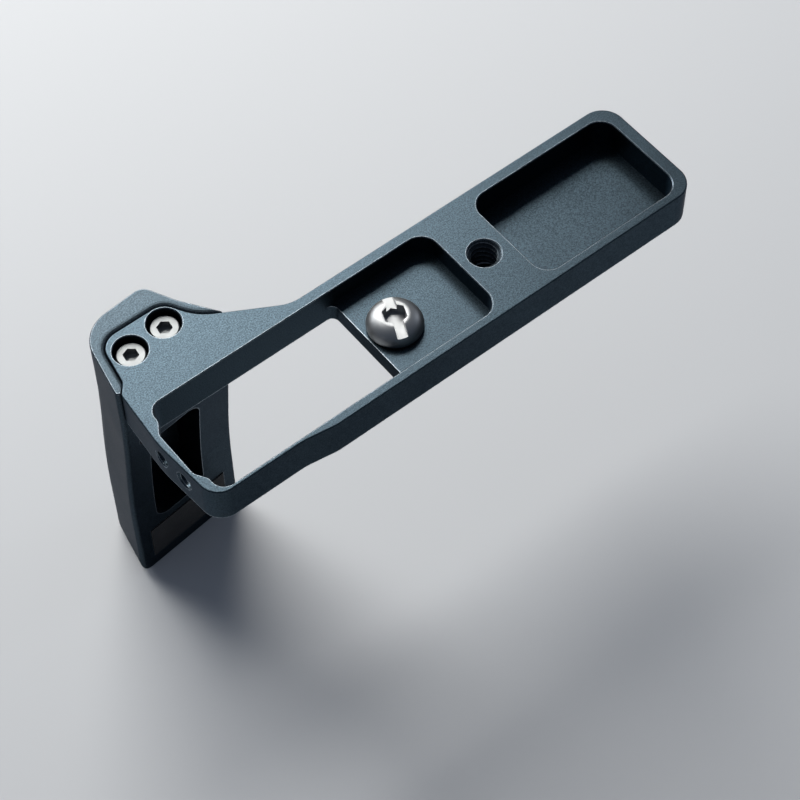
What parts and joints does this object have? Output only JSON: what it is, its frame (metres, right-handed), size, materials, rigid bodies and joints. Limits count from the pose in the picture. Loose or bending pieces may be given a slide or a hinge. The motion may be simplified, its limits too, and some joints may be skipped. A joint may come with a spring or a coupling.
{
  "type": "camera hand grip",
  "caption": "Screw-on hand grip for a compact camera: thick machined base plate with a battery window and a captive camera screw, and a separate front handle on its ear.",
  "frame": {"origin": "on the camera screw's axis, on the seat face that the camera is pulled against", "axes": "+Z out of the plate's outer face, away from the camera; +X along the plate, away from the handle; +Y towards the camera's front; the handle hangs towards -Z"},
  "size_m": [0.11, 0.0483, 0.066],
  "materials": {
    "anodised_plate": "black anodised, satin",
    "anodised_handle": "black anodised, satin",
    "stainless_polished": "polished stainless steel",
    "stainless_satin": "satin stainless steel",
    "nylon_black": "moulded",
    "rubber_lining": "matt"
  },
  "bodies": {
    "grip_frame": {"base_plate": "anodised_plate", "handle": "anodised_handle", "handle_screws": "stainless_satin", "seat_pads": "rubber_lining", "handle_pads": "rubber_lining"},
    "washer": {"screw_washer": "nylon_black"},
    "screw": {"camera_screw": "stainless_polished"}
  },
  "joints": [
    {"name": "screw_travel", "type": "slide", "parent": "grip_frame", "child": "washer", "axis": [0, 0, 1], "range_m": [0, 0.002]},
    {"name": "screw_turn", "type": "hinge", "parent": "washer", "child": "screw", "pos_m": [0, 0, 0], "axis": [0, 0, 1], "continuous": true}
  ]
}
